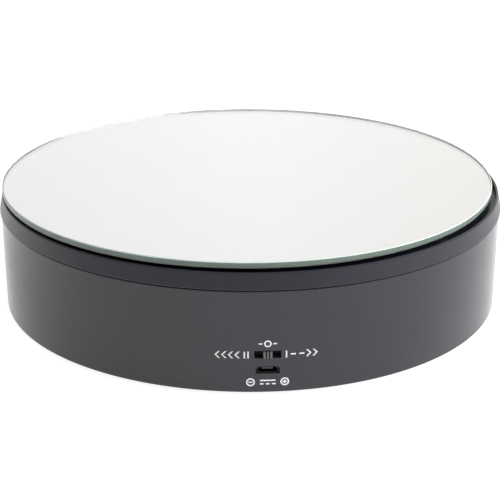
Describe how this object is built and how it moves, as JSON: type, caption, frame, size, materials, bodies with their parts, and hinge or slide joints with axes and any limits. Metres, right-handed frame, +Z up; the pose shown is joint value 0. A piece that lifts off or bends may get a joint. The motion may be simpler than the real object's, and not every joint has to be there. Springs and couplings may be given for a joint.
{
  "type": "turntable display stand",
  "caption": "Low round motorised display turntable with a mirror-topped platter, a slide switch and a power inlet in the drum wall.",
  "frame": {"origin": "on the table, at the centre of the ring of feet, on the platter's spin axis", "axes": "+Z up along the spin axis, -Y towards the front with the switch and the power inlet, +X to the right seen from the front"},
  "size_m": [0.2, 0.2, 0.049],
  "materials": {
    "drum_plastic": "satin charcoal ABS with a fine moulded texture",
    "platter_plastic": "satin charcoal ABS, slightly darker than the drum",
    "base_plastic": "matte black ABS",
    "knob_plastic": "black, fine satin",
    "mirror_glass": "clear float glass with a green ground edge",
    "mirror_silver": "silvered, painted behind",
    "foam_tape": "black closed-cell foam",
    "rubber": "matte black rubber",
    "ball_steel": "polished steel",
    "screw_steel": "zinc-plated",
    "shaft_steel": "ground steel",
    "clip_steel": "blackened spring steel",
    "bronze": "sintered bronze, oiled",
    "gear_acetal": "natural white acetal, slightly waxy",
    "pinion_brass": "hobbed brass",
    "gearbox_plastic": "grey moulded nylon",
    "hub_plastic": "pale grey nylon",
    "cage_plastic": "natural polypropylene",
    "can_steel": "nickel-plated pressed steel",
    "magnet": "dark sintered ferrite",
    "copper": "enamelled copper",
    "cap_nylon": "white nylon",
    "tinned": "tin-plated",
    "board": "green solder mask",
    "phenolic": "brown phenolic board",
    "socket_steel": "plated pressed steel",
    "socket_plastic": "black liquid-crystal polymer",
    "gold": "gold-plated",
    "resistor": "blue lacquer with colour bands",
    "capacitor": "dark sleeve",
    "red_insulation": "red PVC",
    "black_insulation": "black PVC"
  },
  "bodies": {
    "stand": {"housing": "drum_plastic", "base_plate": "base_plastic", "base_screws": "screw_steel", "rubber_feet": "rubber", "gearbox_case": "gearbox_plastic", "gearbox_cover": "gearbox_plastic", "dust_cap": "gearbox_plastic", "gearbox_screws": "screw_steel", "cover_screws": "screw_steel", "gear_pin": "shaft_steel", "upper_bush": "bronze", "lower_bush": "bronze", "motor_can": "can_steel", "motor_bushes": "bronze", "motor_magnets": "magnet", "motor_end_cap": "cap_nylon", "motor_terminals": "tinned", "motor_screws": "screw_steel", "circuit_board": "board", "board_screws": "screw_steel", "usb_shell": "socket_steel", "usb_tongue": "socket_plastic", "usb_contacts": "gold", "switch_frame": "tinned", "switch_base": "phenolic", "switch_pins": "tinned", "speed_resistor": "resistor", "capacitor": "capacitor", "red_lead": "red_insulation", "black_lead": "black_insulation"},
    "turntable": {"mirror_glass": "mirror_glass", "mirror_coating": "mirror_silver", "mirror_tape": "foam_tape", "platter": "platter_plastic", "drive_hub": "hub_plastic", "hub_screws": "screw_steel", "shaft_screw": "screw_steel", "output_shaft": "shaft_steel", "output_gear": "gear_acetal", "shaft_clip": "clip_steel"},
    "ball_cage": {"bearing_cage": "cage_plastic", "bearing_balls": "ball_steel"},
    "gear_1": {"compound_gear_1": "gear_acetal"},
    "gear_2": {"compound_gear_2": "gear_acetal"},
    "gear_3": {"compound_gear_3": "gear_acetal"},
    "rotor": {"motor_rotor": "copper", "motor_shaft": "shaft_steel", "motor_pinion": "pinion_brass"},
    "speed_slider": {"switch_knob": "knob_plastic", "switch_lever": "cap_nylon", "switch_contact": "copper"}
  },
  "joints": [
    {"name": "platter_spin", "type": "hinge", "parent": "stand", "child": "turntable", "pos_m": [0, 0, 0.04], "axis": [0, 0, 1], "continuous": true},
    {"name": "cage_spin", "type": "hinge", "parent": "stand", "child": "ball_cage", "pos_m": [0, 0, 0.04165], "axis": [0, 0, 1], "continuous": true},
    {"name": "gear_1_spin", "type": "hinge", "parent": "stand", "child": "gear_1", "pos_m": [0, 0.02, 0.03], "axis": [0, 0, 1], "continuous": true},
    {"name": "gear_2_spin", "type": "hinge", "parent": "stand", "child": "gear_2", "pos_m": [0, 0, 0.027], "axis": [0, 0, 1], "continuous": true},
    {"name": "gear_3_spin", "type": "hinge", "parent": "stand", "child": "gear_3", "pos_m": [0, 0.02, 0.024], "axis": [0, 0, 1], "continuous": true},
    {"name": "rotor_spin", "type": "hinge", "parent": "stand", "child": "rotor", "pos_m": [0.0192, 0.02, 0.016], "axis": [0, 0, 1], "continuous": true},
    {"name": "switch_slide", "type": "slide", "parent": "stand", "child": "speed_slider", "axis": [1, 0, 0], "range_m": [-0.0025, 0.0025]}
  ],
  "couplings": [
    {"joint": "cage_spin", "follows": "platter_spin", "ratio": 0.5},
    {"joint": "gear_1_spin", "follows": "platter_spin", "ratio": -4},
    {"joint": "gear_2_spin", "follows": "platter_spin", "ratio": 16},
    {"joint": "gear_3_spin", "follows": "platter_spin", "ratio": -64},
    {"joint": "rotor_spin", "follows": "platter_spin", "ratio": 320}
  ]
}
